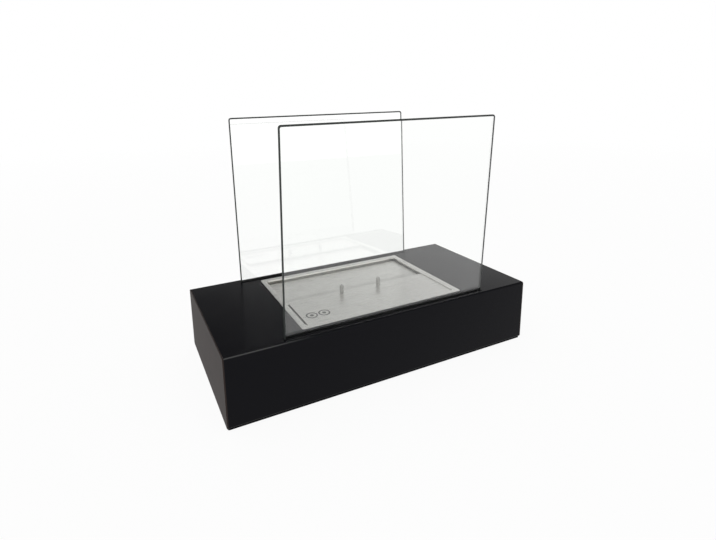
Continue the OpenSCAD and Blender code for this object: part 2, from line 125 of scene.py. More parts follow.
camera_data = bpy.data.cameras.new("camera")
camera_data.sensor_width = 36.0
camera_data.lens = FOCAL_PIXELS / IMAGE_WIDTH * camera_data.sensor_width
camera_data.shift_x = (IMAGE_WIDTH / 2 - VIEW_CENTRE[0]) / IMAGE_WIDTH
camera_data.shift_y = (VIEW_CENTRE[1] - IMAGE_HEIGHT / 2) / IMAGE_WIDTH
camera_data.clip_start, camera_data.clip_end = 0.01, 60.0
camera = bpy.data.objects.new("camera", camera_data)
bpy.context.scene.collection.objects.link(camera)
camera.matrix_world = Matrix.Translation(CAMERA_PLACE) @ Matrix(
    (camera_x, camera_y, -forward)).transposed().to_4x4()
bpy.context.scene.camera = camera
bpy.context.scene.view_settings.view_transform = "Standard"
print("lens", round(camera_data.lens, 2), "mm, shift",
      round(camera_data.shift_x, 4), round(camera_data.shift_y, 4))

# %% [markdown]
# ## Studio
# A black glossy casing shows the room more than it shows itself. The table is a white
# sweep. The camera, the glass and the metal all see it as near white, and only a small share
# of that near the object is real light, enough for a soft shadow. The room is white along
# the horizon. Above it stands a wall, dark behind the left end and brighter to the right, at
# the far left and in front, and over it a ceiling that is bright at the left and dims
# straight overhead. The casing's top mirrors that wall, so it is black at its left end and
# grey at its right. The camera, the glass and the metal all see the same room.

# %% Floor
FLOOR_RADIUS = 14.0
# The share of real light near the object, and where it starts and has faded out, in metres.
SHADOW_SHARE, SHADOW_NEAR, SHADOW_FAR = 0.07, 0.8, 3.0

bpy.ops.mesh.primitive_circle_add(vertices=96, radius=FLOOR_RADIUS, fill_type="NGON")
floor = bpy.context.object
floor.name = "studio_floor"
paper, tree, output = new_finish("white_paper_sweep")
where = add(tree, "ShaderNodeTexCoord")
distance = add(tree, "ShaderNodeVectorMath", {0: where.outputs["Object"]}, operation="LENGTH")
fade = add(tree, "ShaderNodeMapRange", {
    "Value": distance.outputs["Value"], "From Min": SHADOW_NEAR, "From Max": SHADOW_FAR,
    "To Min": 1.0 - SHADOW_SHARE, "To Max": 1.0})
path = add(tree, "ShaderNodeLightPath")
seen = add(tree, "ShaderNodeMath", {0: path.outputs["Is Camera Ray"], 1: path.outputs["Is Glossy Ray"]},
           operation="MAXIMUM")
seen = add(tree, "ShaderNodeMath", {0: seen.outputs[0], 1: path.outputs["Is Transmission Ray"]},
           operation="MAXIMUM")
share = add(tree, "ShaderNodeMath", {0: seen.outputs[0], 1: fade.outputs["Result"]}, operation="MULTIPLY")
matte = add(tree, "ShaderNodeBsdfDiffuse", {"Color": linear("#fbfbfa")})
glow = add(tree, "ShaderNodeEmission", {"Color": linear("#ffffff"), "Strength": 1.0})
mixed = add(tree, "ShaderNodeMixShader", {0: share.outputs[0], 1: matte.outputs[0], 2: glow.outputs[0]})
tree.links.new(mixed.outputs[0], output.inputs["Surface"])
floor.data.materials.append(paper)
print("floor:", FLOOR_RADIUS, "m")

# %% Room
HORIZON = 1.0
WALL_LEFT, WALL_RIGHT, WALL_FAR_LEFT, WALL_FRONT = 0.04, 0.60, 0.8, 0.70
# The ceiling at its left and right, and the share of it that is left straight overhead.
CEILING_LEFT, CEILING_RIGHT, ZENITH = 1.0, 0.32, 0.4
# Each change between two of these runs from one share of a direction's X, Y or Z to another.
# X points right, Y to the back and Z up, and 1 is straight that way.
TO_RIGHT, TO_FAR_LEFT, TO_CEILING_RIGHT = (0.10, 0.62), (-0.05, -0.45), (-0.30, 0.60)
TO_FRONT = (-0.10, -0.60)
TO_WALL, TO_CEILING, TO_ZENITH = (0.26, 0.32), (0.52, 0.66), (0.80, 0.93)
# The wall's foot rises from left to right by this slope, down to a lowest point at the left.
FOOT_SLOPE, FOOT_LOWEST_AT = -0.14, -0.30

world = bpy.data.worlds.new("studio_room")
bpy.context.scene.world = world
world.use_nodes = True
tree = world.node_tree
tree.nodes.clear()
where = add(tree, "ShaderNodeTexCoord")
split = add(tree, "ShaderNodeSeparateXYZ", {0: where.outputs["Generated"]})
wall = add(tree, "ShaderNodeMapRange", {
    "Value": split.outputs["X"], "From Min": TO_RIGHT[0], "From Max": TO_RIGHT[1],
    "To Min": WALL_LEFT, "To Max": WALL_RIGHT})
to_far_left = add(tree, "ShaderNodeMapRange", {
    "Value": split.outputs["X"], "From Min": TO_FAR_LEFT[0], "From Max": TO_FAR_LEFT[1]})
wall = add(tree, "ShaderNodeMix", {"Factor": to_far_left.outputs[0], 2: wall.outputs[0], 3: WALL_FAR_LEFT})
to_front = add(tree, "ShaderNodeMapRange", {
    "Value": split.outputs["Y"], "From Min": TO_FRONT[0], "From Max": TO_FRONT[1]})
wall = add(tree, "ShaderNodeMix", {"Factor": to_front.outputs[0], 2: wall.outputs[0], 3: WALL_FRONT})
ceiling = add(tree, "ShaderNodeMapRange", {
    "Value": split.outputs["X"], "From Min": TO_CEILING_RIGHT[0], "From Max": TO_CEILING_RIGHT[1],
    "To Min": CEILING_LEFT, "To Max": CEILING_RIGHT})
to_zenith = add(tree, "ShaderNodeMapRange", {
    "Value": split.outputs["Z"], "From Min": TO_ZENITH[0], "From Max": TO_ZENITH[1],
    "To Min": 1.0, "To Max": ZENITH})
ceiling = add(tree, "ShaderNodeMath", {0: ceiling.outputs[0], 1: to_zenith.outputs[0]}, operation="MULTIPLY")
to_ceiling = add(tree, "ShaderNodeMapRange", {
    "Value": split.outputs["Z"], "From Min": TO_CEILING[0], "From Max": TO_CEILING[1]})
upper = add(tree, "ShaderNodeMix", {
    "Factor": to_ceiling.outputs[0], 2: wall.outputs[0], 3: ceiling.outputs[0]})
across = add(tree, "ShaderNodeMath", {0: split.outputs["X"], 1: FOOT_LOWEST_AT}, operation="MAXIMUM")
rise = add(tree, "ShaderNodeMath", {0: across.outputs[0], 1: FOOT_SLOPE, 2: split.outputs["Z"]},
           operation="MULTIPLY_ADD")
to_wall = add(tree, "ShaderNodeMapRange", {
    "Value": rise.outputs[0], "From Min": TO_WALL[0], "From Max": TO_WALL[1]})
level = add(tree, "ShaderNodeMix", {"Factor": to_wall.outputs[0], 2: HORIZON, 3: upper.outputs[0]})
room = add(tree, "ShaderNodeBackground", {"Color": linear("#ffffff"), "Strength": level.outputs[0]})
output = add(tree, "ShaderNodeOutputWorld", {"Surface": room.outputs[0]})
print("room: wall", WALL_LEFT, "to", WALL_RIGHT, "ceiling", CEILING_LEFT, "to", CEILING_RIGHT)

# %% Lamps
OBJECT_MIDDLE = Vector((0.0, 0.0, 0.05))


def softbox(name, place, size, watts):
    """A square white area lamp that faces the object. It is large, so that its mirror image stays dim."""
    lamp = bpy.data.lights.new(name, "AREA")
    lamp.shape, lamp.size, lamp.energy = "SQUARE", size, watts
    holder = bpy.data.objects.new(name, lamp)
    holder.location = place
    holder.rotation_euler = (OBJECT_MIDDLE - Vector(place)).to_track_quat("-Z", "Y").to_euler()
    bpy.context.scene.collection.objects.link(holder)
    return holder


key = softbox("key_softbox", (0.62, -2.20, 1.25), 2.6, 14)
fill = softbox("overhead_softbox", (-0.5, 0.5, 2.6), 5.0, 15)
print("lamps:", key.name, fill.name)

# %% [markdown]
# ## Powder-coated steel
# The casing is folded mild steel, sprayed with black polyester powder and baked. The powder
# melts into a skin with a very fine orange peel, about half a millimetre from bump to bump,
# and a soft sheen: reflections show, but their outlines blur. The peel is drawn nearly twice
# as coarse, because the real one is too fine to show here. Where a fold faces up and forwards,
# over the casing's left end, a painted highlight is mixed into the coat's colour, so the fold
# reads there as a fine grey line. The end panels carry a coarser, matt coat, which mirrors
# nothing sharp and looks a warm dark grey.

# %% Black powder coat
ORANGE_PEEL, PEEL_HEIGHT = 0.9 * MM, 0.05 * MM
# How many clouds of slightly duller coat there are to a metre.
GLOSS_CLOUDS, MATT_CLOUDS = 28.0, 60.0
# The painted highlight lies where a fold faces up and forwards, and from the left end to this place.
FOLD_FACING, HIGHLIGHT_TO, HIGHLIGHT_FADE = (0.36, 0.50), -150 * MM, 50 * MM

powder_coat, tree, output = new_finish("powder_coated_mild_steel")
where = add(tree, "ShaderNodeTexCoord")
peel = add(tree, "ShaderNodeTexNoise", {"Vector": where.outputs["Object"], "Scale": 1 / ORANGE_PEEL,
                                        "Detail": 2.0, "Roughness": 0.45})
cloud = add(tree, "ShaderNodeTexNoise", {"Vector": where.outputs["Object"], "Scale": GLOSS_CLOUDS,
                                         "Detail": 4.0})
gloss = add(tree, "ShaderNodeMapRange", {"Value": cloud.outputs["Fac"], "From Min": 0.3, "From Max": 0.7,
                                         "To Min": 0.20, "To Max": 0.23})
bump = add(tree, "ShaderNodeBump", {"Height": peel.outputs["Fac"], "Strength": 0.08, "Distance": PEEL_HEIGHT})
facing = add(tree, "ShaderNodeSeparateXYZ", {0: where.outputs["Normal"]})
bend = add(tree, "ShaderNodeMath", {0: facing.outputs["Y"], 1: facing.outputs["Z"]}, operation="MULTIPLY")
bend = add(tree, "ShaderNodeMath", {0: bend.outputs[0]}, operation="ABSOLUTE")
mask_factor = add(tree, "ShaderNodeMapRange", {"Value": bend.outputs[0], "From Min": FOLD_FACING[0],
                                        "From Max": FOLD_FACING[1]})
along = add(tree, "ShaderNodeSeparateXYZ", {0: where.outputs["Object"]})
highlight_reach = add(tree, "ShaderNodeMapRange", {
    "Value": along.outputs["X"], "From Min": HIGHLIGHT_TO, "From Max": HIGHLIGHT_TO + HIGHLIGHT_FADE,
    "To Min": 1.0, "To Max": 0.0})
# The paler grey mixed in along the fold is a painted highlight.
fold_highlight = add(tree, "ShaderNodeMath", {0: mask_factor.outputs["Result"], 1: highlight_reach.outputs["Result"]},
           operation="MULTIPLY")
tone = add(tree, "ShaderNodeMix", {"Factor": fold_highlight.outputs[0], 6: linear("#0c0c10"), 7: linear("#4a4a4a")},
           data_type="RGBA")
skin = add(tree, "ShaderNodeBsdfPrincipled", {
    "Base Color": tone.outputs[2], "Roughness": gloss.outputs["Result"], "IOR": 1.16,
    "Normal": bump.outputs["Normal"]})
tree.links.new(skin.outputs[0], output.inputs["Surface"])
print("finish:", powder_coat.name)

# %% Matt coat of the end panels
end_coat, tree, output = new_finish("powder_coated_end_panel")
where = add(tree, "ShaderNodeTexCoord")
peel = add(tree, "ShaderNodeTexNoise", {"Vector": where.outputs["Object"], "Scale": 1 / ORANGE_PEEL,
                                        "Detail": 2.0, "Roughness": 0.45})
cloud = add(tree, "ShaderNodeTexNoise", {"Vector": where.outputs["Object"], "Scale": MATT_CLOUDS,
                                         "Detail": 4.0})
tone = add(tree, "ShaderNodeMix", {
    "Factor": cloud.outputs["Fac"], 6: linear("#241c1a"), 7: linear("#2f2522")}, data_type="RGBA")
bump = add(tree, "ShaderNodeBump", {"Height": peel.outputs["Fac"], "Strength": 0.15, "Distance": PEEL_HEIGHT})
skin = add(tree, "ShaderNodeBsdfPrincipled", {
    "Base Color": tone.outputs[2], "Roughness": 0.6, "IOR": 1.25, "Normal": bump.outputs["Normal"]})
tree.links.new(skin.outputs[0], output.inputs["Surface"])
print("finish:", end_coat.name)

# %% [markdown]
# ## Brushed stainless steel
# The burner is folded from stainless sheet with a fine satin grain along its length. The
# grain is under a tenth of a millimetre wide, too fine to show here, so it is drawn about
# four times as coarse. It stretches reflections across the grain and clouds them. The deck
# is darker in a band behind the damper's rear edge, and painted shade darkens it in the gap
# beside the damper's left edge. The fuel box below is mill-finish sheet, dull enough to
# mirror nothing, and its darker tone is painted shade. The lid's skirt and tabs carry painted
# shade, nearly black, and that draws the dark line round the lid.

# %% Satin stainless
GRAIN_WIDTH, GRAIN_LENGTH, GRAIN_HEIGHT = 0.35 * MM, 30 * MM, 0.03 * MM
# How many soft clouds there are to a metre.
HAZE = 30.0
# Where the darker band fades in and out along Y, and the X and Y below which the deck takes painted shade.
BAND_PLACES, GAP_SHADE_CORNER, GAP_SHADE_FADE = (1 * MM, 5 * MM, 8 * MM, 15 * MM), (-98 * MM, -2 * MM), 0.8 * MM
BAND_TONE, GAP_SHADE_TONE = "#b0afab", "#3a3936"


def satin(name, dark, pale, roughness, stretch=0.25, stretch_along=(0.0, 1.0, 0.0), darker_band=None,
          gap_shade=None):
    """Worked steel whose fine grain stretches reflections along one direction.

    darker_band gives the four Y places between which a darker band fades in and out.
    gap_shade gives the X and Y below which painted shade darkens the sheet.
    """
    material, tree, output = new_finish(name)
    where = add(tree, "ShaderNodeTexCoord")
    along = add(tree, "ShaderNodeMapping", {"Vector": where.outputs["Object"],
                                            "Scale": (1 / GRAIN_LENGTH, 1 / GRAIN_WIDTH, 1 / GRAIN_WIDTH)})
    grain = add(tree, "ShaderNodeTexNoise", {"Vector": along.outputs[0], "Scale": 1.0, "Detail": 3.0,
                                             "Roughness": 0.6})
    haze = add(tree, "ShaderNodeTexNoise", {"Vector": where.outputs["Object"], "Scale": HAZE, "Detail": 3.0})
    both = add(tree, "ShaderNodeMix", {"Factor": 0.5, 2: haze.outputs["Fac"], 3: grain.outputs["Fac"]})
    tone = add(tree, "ShaderNodeMix", {"Factor": both.outputs[0], 6: linear(dark), 7: linear(pale)},
               data_type="RGBA")
    place = add(tree, "ShaderNodeSeparateXYZ", {0: where.outputs["Object"]})
    # A darker band along Y, mottled by the haze.
    if darker_band:
        start = add(tree, "ShaderNodeMapRange", {
            "Value": place.outputs["Y"], "From Min": darker_band[0], "From Max": darker_band[1]})
        end = add(tree, "ShaderNodeMapRange", {
            "Value": place.outputs["Y"], "From Min": darker_band[3], "From Max": darker_band[2]})
        band = add(tree, "ShaderNodeMath", {0: start.outputs[0], 1: end.outputs[0]}, operation="MULTIPLY")
        band = add(tree, "ShaderNodeMath", {0: band.outputs[0], 1: haze.outputs["Fac"]}, operation="MULTIPLY")
        tone = add(tree, "ShaderNodeMix", {
            "Factor": band.outputs[0], 6: tone.outputs[2], 7: linear(BAND_TONE)}, data_type="RGBA")
    # Painted shade: the sheet darkens beside the damper's left edge, where the gap lies.
    if gap_shade:
        beside = add(tree, "ShaderNodeMapRange", {
            "Value": place.outputs["X"], "From Min": gap_shade[0], "From Max": gap_shade[0] - GAP_SHADE_FADE})
        ahead = add(tree, "ShaderNodeMapRange", {
            "Value": place.outputs["Y"], "From Min": gap_shade[1], "From Max": gap_shade[1] - GAP_SHADE_FADE})
        strip = add(tree, "ShaderNodeMath", {0: beside.outputs[0], 1: ahead.outputs[0]}, operation="MULTIPLY")
        tone = add(tree, "ShaderNodeMix", {
            "Factor": strip.outputs[0], 6: tone.outputs[2], 7: linear(GAP_SHADE_TONE)}, data_type="RGBA")
    rough = add(tree, "ShaderNodeMapRange", {
        "Value": grain.outputs["Fac"], "From Min": 0.25, "From Max": 0.75,
        "To Min": roughness - 0.04, "To Max": roughness + 0.05})
    bump = add(tree, "ShaderNodeBump", {"Height": grain.outputs["Fac"], "Strength": 0.10,
                                        "Distance": GRAIN_HEIGHT})
    across = add(tree, "ShaderNodeCombineXYZ", dict(enumerate(stretch_along)))
    metal = add(tree, "ShaderNodeBsdfPrincipled", {
        "Base Color": tone.outputs[2], "Metallic": 1.0, "Roughness": rough.outputs["Result"],
        "Anisotropic": stretch, "Tangent": across.outputs[0], "Normal": bump.outputs["Normal"]})
    tree.links.new(metal.outputs[0], output.inputs["Surface"])
    return material


satin_steel = satin("satin_brushed_stainless_steel", "#c9c8c4", "#d9d8d4", 0.28)
deck_steel = satin("stainless_deck_band_and_painted_shade", "#c9c8c4", "#d9d8d4", 0.28,
                   darker_band=BAND_PLACES, gap_shade=GAP_SHADE_CORNER)
# The fuel box is dull mill-finish sheet; its darker tone is painted shade for the recess under the lip.
box_steel_with_shade = satin("mill_finish_box_painted_shade", "#7f7e7a", "#97968f", 0.45)
# Painted shade: the lid's skirt and tabs stand in the gap round the lid and are painted nearly black.
shade_black_steel = satin("stainless_steel_painted_shade", "#2b2a28", "#45443f", 0.45)
print("finish:", satin_steel.name, deck_steel.name, box_steel_with_shade.name, shade_black_steel.name)

# %% [markdown]
# ## Glass
# The panes are float glass, toughened, with edges ground matt. The faces are clear: what
# shows of them is a veil of reflected room, so their index is set a little over plain glass
# to give the veil its strength. Light that only passes on to a matt surface or a shadow goes
# straight through. The ground edges scatter light inside the sheet and read as a thin dark
# green-grey line all round.

# %% Float glass and its ground edge
# Real grit is finer. It is drawn as coarse as it needs to show.
GRIT = 0.6 * MM

clear_glass, tree, output = new_finish("toughened_float_glass")
glass = add(tree, "ShaderNodeBsdfPrincipled", {
    "Base Color": linear("#fefffe"), "Roughness": 0.0, "IOR": 1.62, "Transmission Weight": 1.0})
path = add(tree, "ShaderNodeLightPath")
through = add(tree, "ShaderNodeBsdfTransparent", {"Color": linear("#f6f8f7")})
mask_factor = add(tree, "ShaderNodeMath", {0: path.outputs["Is Shadow Ray"], 1: path.outputs["Is Diffuse Ray"]},
           operation="MAXIMUM")
mixed = add(tree, "ShaderNodeMixShader", {0: mask_factor.outputs[0], 1: glass.outputs[0], 2: through.outputs[0]})
tree.links.new(mixed.outputs[0], output.inputs["Surface"])

ground_edge, tree, output = new_finish("ground_glass_edge")
where = add(tree, "ShaderNodeTexCoord")
grit = add(tree, "ShaderNodeTexNoise", {"Vector": where.outputs["Object"], "Scale": 1 / GRIT, "Detail": 2.0})
tone = add(tree, "ShaderNodeMix", {"Factor": grit.outputs["Fac"], 6: linear("#131715"), 7: linear("#282e2b")},
           data_type="RGBA")
edge = add(tree, "ShaderNodeBsdfPrincipled", {"Base Color": tone.outputs[2], "Roughness": 0.55, "IOR": 1.52})
tree.links.new(edge.outputs[0], output.inputs["Surface"])
print("finish:", clear_glass.name, ground_edge.name)

# %% [markdown]
# ## Rubber, silicone and zinc
# The feet and the liners are dull black elastomers with a faint bloom. The parts that
# nobody sees are zinc-plated: a cool grey with a patchy, frosted crystal pattern.

# %% Small finishes
SPECKLE_HEIGHT = 0.05 * MM


def speckled(name, dark, pale, patch, roughness, metallic=0.0, ior=1.5):
    """A finish whose colour drifts between two tones over patches of a given size."""
    material, tree, output = new_finish(name)
    where = add(tree, "ShaderNodeTexCoord")
    patches = add(tree, "ShaderNodeTexNoise", {"Vector": where.outputs["Object"], "Scale": 1 / patch,
                                               "Detail": 4.0})
    tone = add(tree, "ShaderNodeMix", {"Factor": patches.outputs["Fac"], 6: linear(dark), 7: linear(pale)},
               data_type="RGBA")
    bump = add(tree, "ShaderNodeBump", {"Height": patches.outputs["Fac"], "Strength": 0.2,
                                        "Distance": SPECKLE_HEIGHT})
    shader = add(tree, "ShaderNodeBsdfPrincipled", {
        "Base Color": tone.outputs[2], "Roughness": roughness, "Metallic": metallic, "IOR": ior,
        "Normal": bump.outputs["Normal"]})
    tree.links.new(shader.outputs[0], output.inputs["Surface"])
    return material


moulded_rubber = speckled("moulded_rubber", "#0e0e0e", "#1a1a1a", 0.8 * MM, 0.7)
silicone = speckled("extruded_silicone", "#09090a", "#111112", 1.5 * MM, 0.8, ior=1.3)
zinc_plate = speckled("zinc_plated_steel", "#8f9294", "#a9acad", 4 * MM, 0.42, metallic=1.0)
etched_steel = speckled("etched_darkened_steel", "#2f2e2c", "#3e3d3a", 0.5 * MM, 0.7)
fibre_felt = speckled("ceramic_fibre_felt", "#d9d6cc", "#efede6", 1.2 * MM, 0.95)
print("finishes:", len(bpy.data.materials))

# %% [markdown]
# ## Dressing the CAD nodes
# Most pieces already have their true shape, so they only need a finish.

# %% Assign finishes
FINISH_OF_SLOT = {
    "powder_coated_steel": powder_coat, "zinc_plated_steel": zinc_plate, "rubber": moulded_rubber,
    "silicone_liner": silicone, "toughened_glass": clear_glass, "stainless_steel": satin_steel,
    "ceramic_fibre": fibre_felt}
SLOT_OF_NODE = {part["node"]: part["material_slot"] for part in frame["record"]["subparts"]}
FINISH_OF_NODE = {"left_end_panel": end_coat, "right_end_panel": end_coat, "burner_deck": deck_steel,
                  "burner_box": box_steel_with_shade}
for name, node_object in nodes.items():
    for material_slot in node_object.material_slots:
        material_slot.material = FINISH_OF_NODE.get(name, FINISH_OF_SLOT[SLOT_OF_NODE[name]])
print("dressed", len(nodes), "nodes")

# %% [markdown]
# ## Meshes from rings
# Panes, borders and plates are all stacks of rounded outlines joined ring to ring.
# One outline function and one skinning function cover them, and every mesh comes out closed.

# %% Outlines and skins
SHARPEST = 0.01 * MM


def outline(width, depth, radius, steps=8):
    """Points of a rounded rectangle round the origin, counter-clockwise. No corner is quite sharp."""
    radius = max(radius, SHARPEST)
    points = []
    for corner, (sx, sy) in enumerate(((1, 1), (-1, 1), (-1, -1), (1, -1))):
        for i in range(steps + 1):
            angle = math.pi / 2 * (corner + i / steps)
            points.append((sx * (width / 2 - radius) + radius * math.cos(angle),
                           sy * (depth / 2 - radius) + radius * math.sin(angle)))
    return points


def skin_rings(mesh, rings, close=False, cap_start=True, cap_end=True, index=0):
    """Joins rings of equal length with quads. The ends are capped, or the last joins the first."""
    loops = [[mesh.verts.new(p) for p in ring] for ring in rings]
    count = len(loops[0])
    pairs = list(zip(loops, loops[1:])) + ([(loops[-1], loops[0])] if close else [])
    for low, high in pairs:
        for i in range(count):
            j = (i + 1) % count
            mesh.faces.new((low[i], low[j], high[j], high[i])).material_index = index
    if not close and cap_start:
        mesh.faces.new(list(reversed(loops[0]))).material_index = index
    if not close and cap_end:
        mesh.faces.new(loops[-1]).material_index = index
    return loops


def finish_piece(mesh, name, body, finishes, replaced=(), smooth_angle=35):
    """Turns a bmesh into a piece that rides on a body and takes its finishes."""
    bmesh.ops.recalc_face_normals(mesh, faces=mesh.faces)
    for face in mesh.faces:
        face.smooth = len(face.verts) <= 4
    for edge in mesh.edges:
        if len(edge.link_faces) == 2 and edge.calc_face_angle() > math.radians(smooth_angle):
            edge.smooth = False
    data = bpy.data.meshes.new(name)
    mesh.to_mesh(data)
    mesh.free()
    piece = bpy.data.objects.new(name, data)
    bpy.context.scene.collection.objects.link(piece)
    for finish in finishes:
        data.materials.append(finish)
    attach(piece, body)
    if replaced:
        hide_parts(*replaced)
    return piece


print("mesh helpers ready")

# %% [markdown]
# ## Glass panes
# Each pane is a sheet with small round corners and an edge ground to a C, which is cut
# deeper along the top, where fingers touch it, than down the sides. The faces and the edge
# take different finishes, so they are separate faces of one closed mesh. The pane's lean is
# the direction in which it slides, which its joint gives.

# %% Build the panes
PANE_WIDTH, PANE_HEIGHT, PANE_THICKNESS = 266 * MM, 240 * MM, 4 * MM
PANE_CORNER, SIDE_GRIND, TOP_GRIND = 3 * MM, 1.3 * MM, 1.9 * MM
EDGE_STEPS = 8


def build_pane(name, node, body, joint):
    """A pane centred in its CAD node's box."""
    low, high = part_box(node)
    up = Vector(next(j for j in frame["joints"] if j["name"] == joint)["axis"]).normalized()
    across = Vector((1, 0, 0))
    through_axis = across.cross(up)
    centre = (low + high) / 2
    mesh = bmesh.new()
    rings = []
    for i in range(EDGE_STEPS + 1):
        angle = math.pi * (i / EDGE_STEPS - 0.5)
        inset, inset_up = SIDE_GRIND * (1 - math.cos(angle)), TOP_GRIND * (1 - math.cos(angle))
        offset = PANE_THICKNESS / 2 * math.sin(angle)
        flat = outline(PANE_WIDTH - 2 * inset, PANE_HEIGHT - 2 * inset_up, PANE_CORNER - inset)
        rings.append([centre + across * x + up * y + through_axis * offset for x, y in flat])
    skin_rings(mesh, rings, index=1)
    for face in mesh.faces:
        if len(face.verts) > 4:
            face.material_index = 0
    return finish_piece(mesh, name, body, (clear_glass, ground_edge), (node,))


front_glass = build_pane("front_glass_pane", "front_pane", "front_glass", "front_pane_lift")
rear_glass = build_pane("rear_glass_pane", "rear_pane", "rear_glass", "rear_pane_lift")
print("panes:", front_glass.name, rear_glass.name)

# %% [markdown]
# ## Burner border
# The border is pressed from one sheet: flat where it lies on the casing, then turned over
# a tight roll, and ended in a short upright lip. Below the lip the recess is open and dark.
# The roll catches a bright line and the gap under the lip draws a dark one beside it, which
# a plain slope doesn't do, so the section is a curve swept round the opening.

# %% Build the border
border_low, border_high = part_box("burner_frame")
BORDER_WIDTH, BORDER_DEPTH = (border_high - border_low).x, (border_high - border_low).y
BORDER_OUTER_CORNER, OPENING_CORNER = 2.5 * MM, 4 * MM
SHEET, BORDER_REACH, ROLL_RADIUS, LIP_DROP = 1 * MM, 6.6 * MM, 1.2 * MM, 2.4 * MM
BORDER_FLAT = BORDER_REACH - ROLL_RADIUS
# The outer edge is a small round of this size, with one point between its two ends.
EDGE, KEEP_FLAT, ROLL_STEPS = 0.25 * MM, 0.15 * MM, 8
BETWEEN = 0.3 * EDGE

turns = [math.pi / 2 * i / ROLL_STEPS for i in range(ROLL_STEPS + 1)]
roll_top = [(BORDER_FLAT + ROLL_RADIUS * math.sin(a), SHEET - ROLL_RADIUS * (1 - math.cos(a))) for a in turns]
roll_under = [(BORDER_FLAT + (ROLL_RADIUS - SHEET) * math.sin(a),
               SHEET - ROLL_RADIUS + (ROLL_RADIUS - SHEET) * math.cos(a)) for a in reversed(turns)]
section = ([(0.0, 0.0), (0.0, SHEET - EDGE), (BETWEEN, SHEET - BETWEEN), (EDGE, SHEET),
            (EDGE + KEEP_FLAT, SHEET), (BORDER_FLAT - KEEP_FLAT, SHEET)] + roll_top
           + [(BORDER_REACH, SHEET - LIP_DROP), (BORDER_REACH - SHEET, SHEET - LIP_DROP)] + roll_under)


def border_corner(inset):
    """The corner radius at an inset from the border's outer edge."""
    inner = OPENING_CORNER + BORDER_REACH - max(inset, BORDER_FLAT)
    share = min(inset / BORDER_FLAT, 1.0)
    return BORDER_OUTER_CORNER + (inner - BORDER_OUTER_CORNER) * share


mesh = bmesh.new()
middle = (border_low + border_high) / 2
base_z = border_high.z - SHEET
rings = [[Vector((middle.x + x, middle.y + y, base_z + z))
          for x, y in outline(BORDER_WIDTH - 2 * inset, BORDER_DEPTH - 2 * inset, border_corner(inset), 10)]
         for inset, z in section]
skin_rings(mesh, rings, close=True)
border = finish_piece(mesh, "burner_border", "burner", (satin_steel,),
                      ("burner_frame",), smooth_angle=30)
print("border faces:", len(border.data.polygons))

# %% [markdown]
# ## Cutting shapes out of a piece
# Holes, etched rings and a screw's cross are made the way a workshop makes them: a tool of
# that shape is taken away from the plain piece. Blender's exact Boolean does this, and the
# cut faces keep the tool's finish, which is how the etching gets its darker tone.


# %% Add and cut away
def combine(piece, tools, operation):
    """Unites a piece with tools, or cuts them away, and removes the tools."""
    for tool in tools:
        change = piece.modifiers.new("combine", "BOOLEAN")
        change.object, change.operation, change.solver = tool, operation, "EXACT"
        change.material_mode = "TRANSFER"
    bpy.context.view_layer.update()
    evaluated = piece.evaluated_get(bpy.context.evaluated_depsgraph_get())
    shaped = bpy.data.meshes.new_from_object(evaluated)
    piece.modifiers.clear()
    piece.data = shaped
    for tool in tools:
        bpy.data.objects.remove(tool)
    return piece


def solid(mesh, name, finish):
    """A plain closed solid that rides on nothing yet."""
    bmesh.ops.recalc_face_normals(mesh, faces=mesh.faces)
    data = bpy.data.meshes.new(name)
    mesh.to_mesh(data)
    mesh.free()
    data.materials.append(finish)
    tool = bpy.data.objects.new(name, data)
    bpy.context.scene.collection.objects.link(tool)
    return tool


def slab(name, finish, centre, width, depth, corner, z0, z1):
    """A flat plate with round corners between two levels."""
    mesh = bmesh.new()
    skin_rings(mesh, [[(centre[0] + x, centre[1] + y, z) for x, y in outline(width, depth, corner, 6)]
                      for z in (z0, z1)])
    return solid(mesh, name, finish)


def turned(name, finish, centre, profile, steps=40, close=False):
    """A turned solid round an upright axis. The profile is pairs of radius and height."""
    mesh = bmesh.new()
    turns = [2 * math.pi * i / steps for i in range(steps)]
    rings = [[(centre[0] + r * math.cos(a), centre[1] + r * math.sin(a), z) for a in turns]
             for r, z in profile]
    skin_rings(mesh, rings, close=close)
    return solid(mesh, name, finish)


def settle(piece, body, replaced=(), smooth_angle=35):
    """Smooths a finished solid, sets it on its body and hides the CAD parts it stands for."""
    for polygon in piece.data.polygons:
        polygon.use_smooth = len(polygon.vertices) <= 4
    mesh = bmesh.new()
    mesh.from_mesh(piece.data)
    for edge in mesh.edges:
        edge.smooth = not (len(edge.link_faces) == 2 and edge.calc_face_angle() > math.radians(smooth_angle))
    mesh.to_mesh(piece.data)
    mesh.free()
    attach(piece, body)
    if replaced:
        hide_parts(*replaced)
    return piece


print("workshop tools ready")

# %% [markdown]
# ## Damper
# The damper is a shallow lid of the same sheet. Its top edge is a fold, so it is round, and
# that small radius draws the bright rim of the plate. It is narrower than the opening, so
# that it slides freely, and it rests against the right end of that play, which leaves the
# wider gap at the left. Four tabs reach under the border's lip and guide it. Two round marks
# are etched near its front left corner.

# %% Build the damper plate
plate_low, plate_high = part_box("damper_plate")
DAMPER_WIDTH, DAMPER_CORNER, FOLD, SIDE_PLAY = 199.9 * MM, 4 * MM, 0.8 * MM, 1.75 * MM
TAB_LENGTH, TAB_INSET, TAB_CORNER = 14 * MM, 11 * MM, 0.3 * MM
DAMPER_DEPTH = (plate_high - plate_low).y
plate_middle = (plate_low + plate_high) / 2

